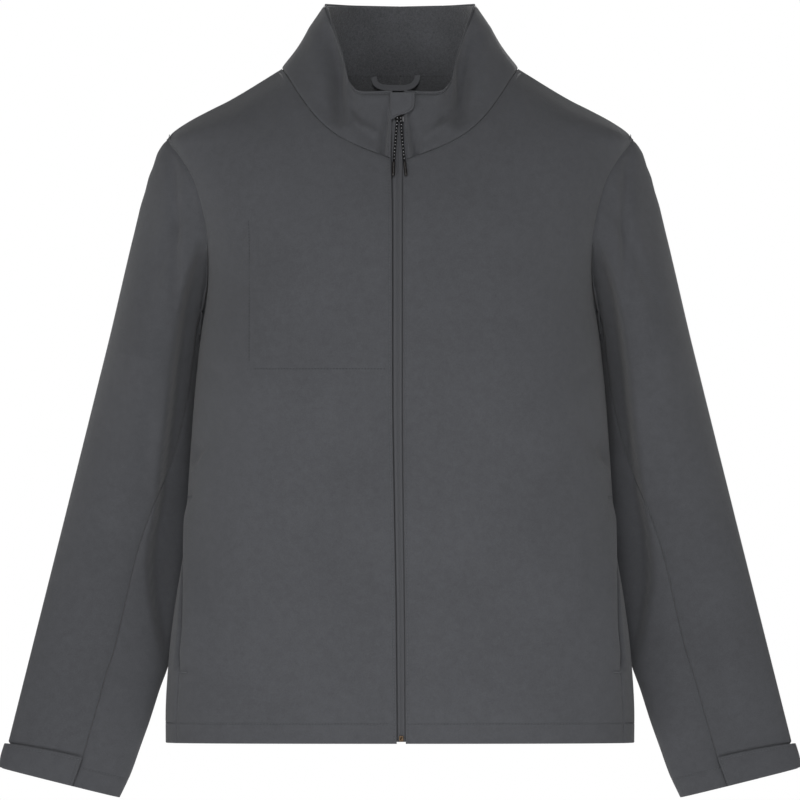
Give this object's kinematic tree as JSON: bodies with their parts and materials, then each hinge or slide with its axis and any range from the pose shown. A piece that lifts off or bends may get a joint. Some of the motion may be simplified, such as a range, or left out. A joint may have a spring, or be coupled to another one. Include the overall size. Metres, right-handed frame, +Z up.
{
  "type": "softshell jacket",
  "caption": "Softshell jacket with a stand collar, a zipped front, side seam pockets, long two-piece sleeves and cuff tabs.",
  "frame": {"origin": "middle of the neck, level with the points where the neck and the shoulders meet", "axes": "+Z up along the wearer's neck, -Y out of the front, +X towards the wearer's left sleeve"},
  "size_m": [0.8198, 0.239, 0.8107],
  "materials": {
    "shell": "matte",
    "lining": "matte",
    "zip": "satin",
    "cord": "matte",
    "cord_tip": "satin",
    "end_box": "matte"
  },
  "bodies": {
    "root": {"front_right": "shell", "front_left": "shell", "back": "shell", "sleeve_upper_right": "shell", "sleeve_upper_left": "shell", "sleeve_under_right": "shell", "sleeve_under_left": "shell", "cuff_tab_right": "shell", "cuff_tab_left": "shell", "pocket_facing_right": "lining", "pocket_facing_left": "lining", "collar_outer": "shell", "collar_inner": "lining", "hanger_loop": "shell", "chin_guard": "shell", "zip_tape": "zip", "zip_slider": "zip", "zip_end_box": "end_box", "puller_cord_right": "cord", "puller_cord_left": "cord", "puller_tip_right": "cord_tip", "puller_tip_left": "cord_tip"}
  },
  "joints": []
}
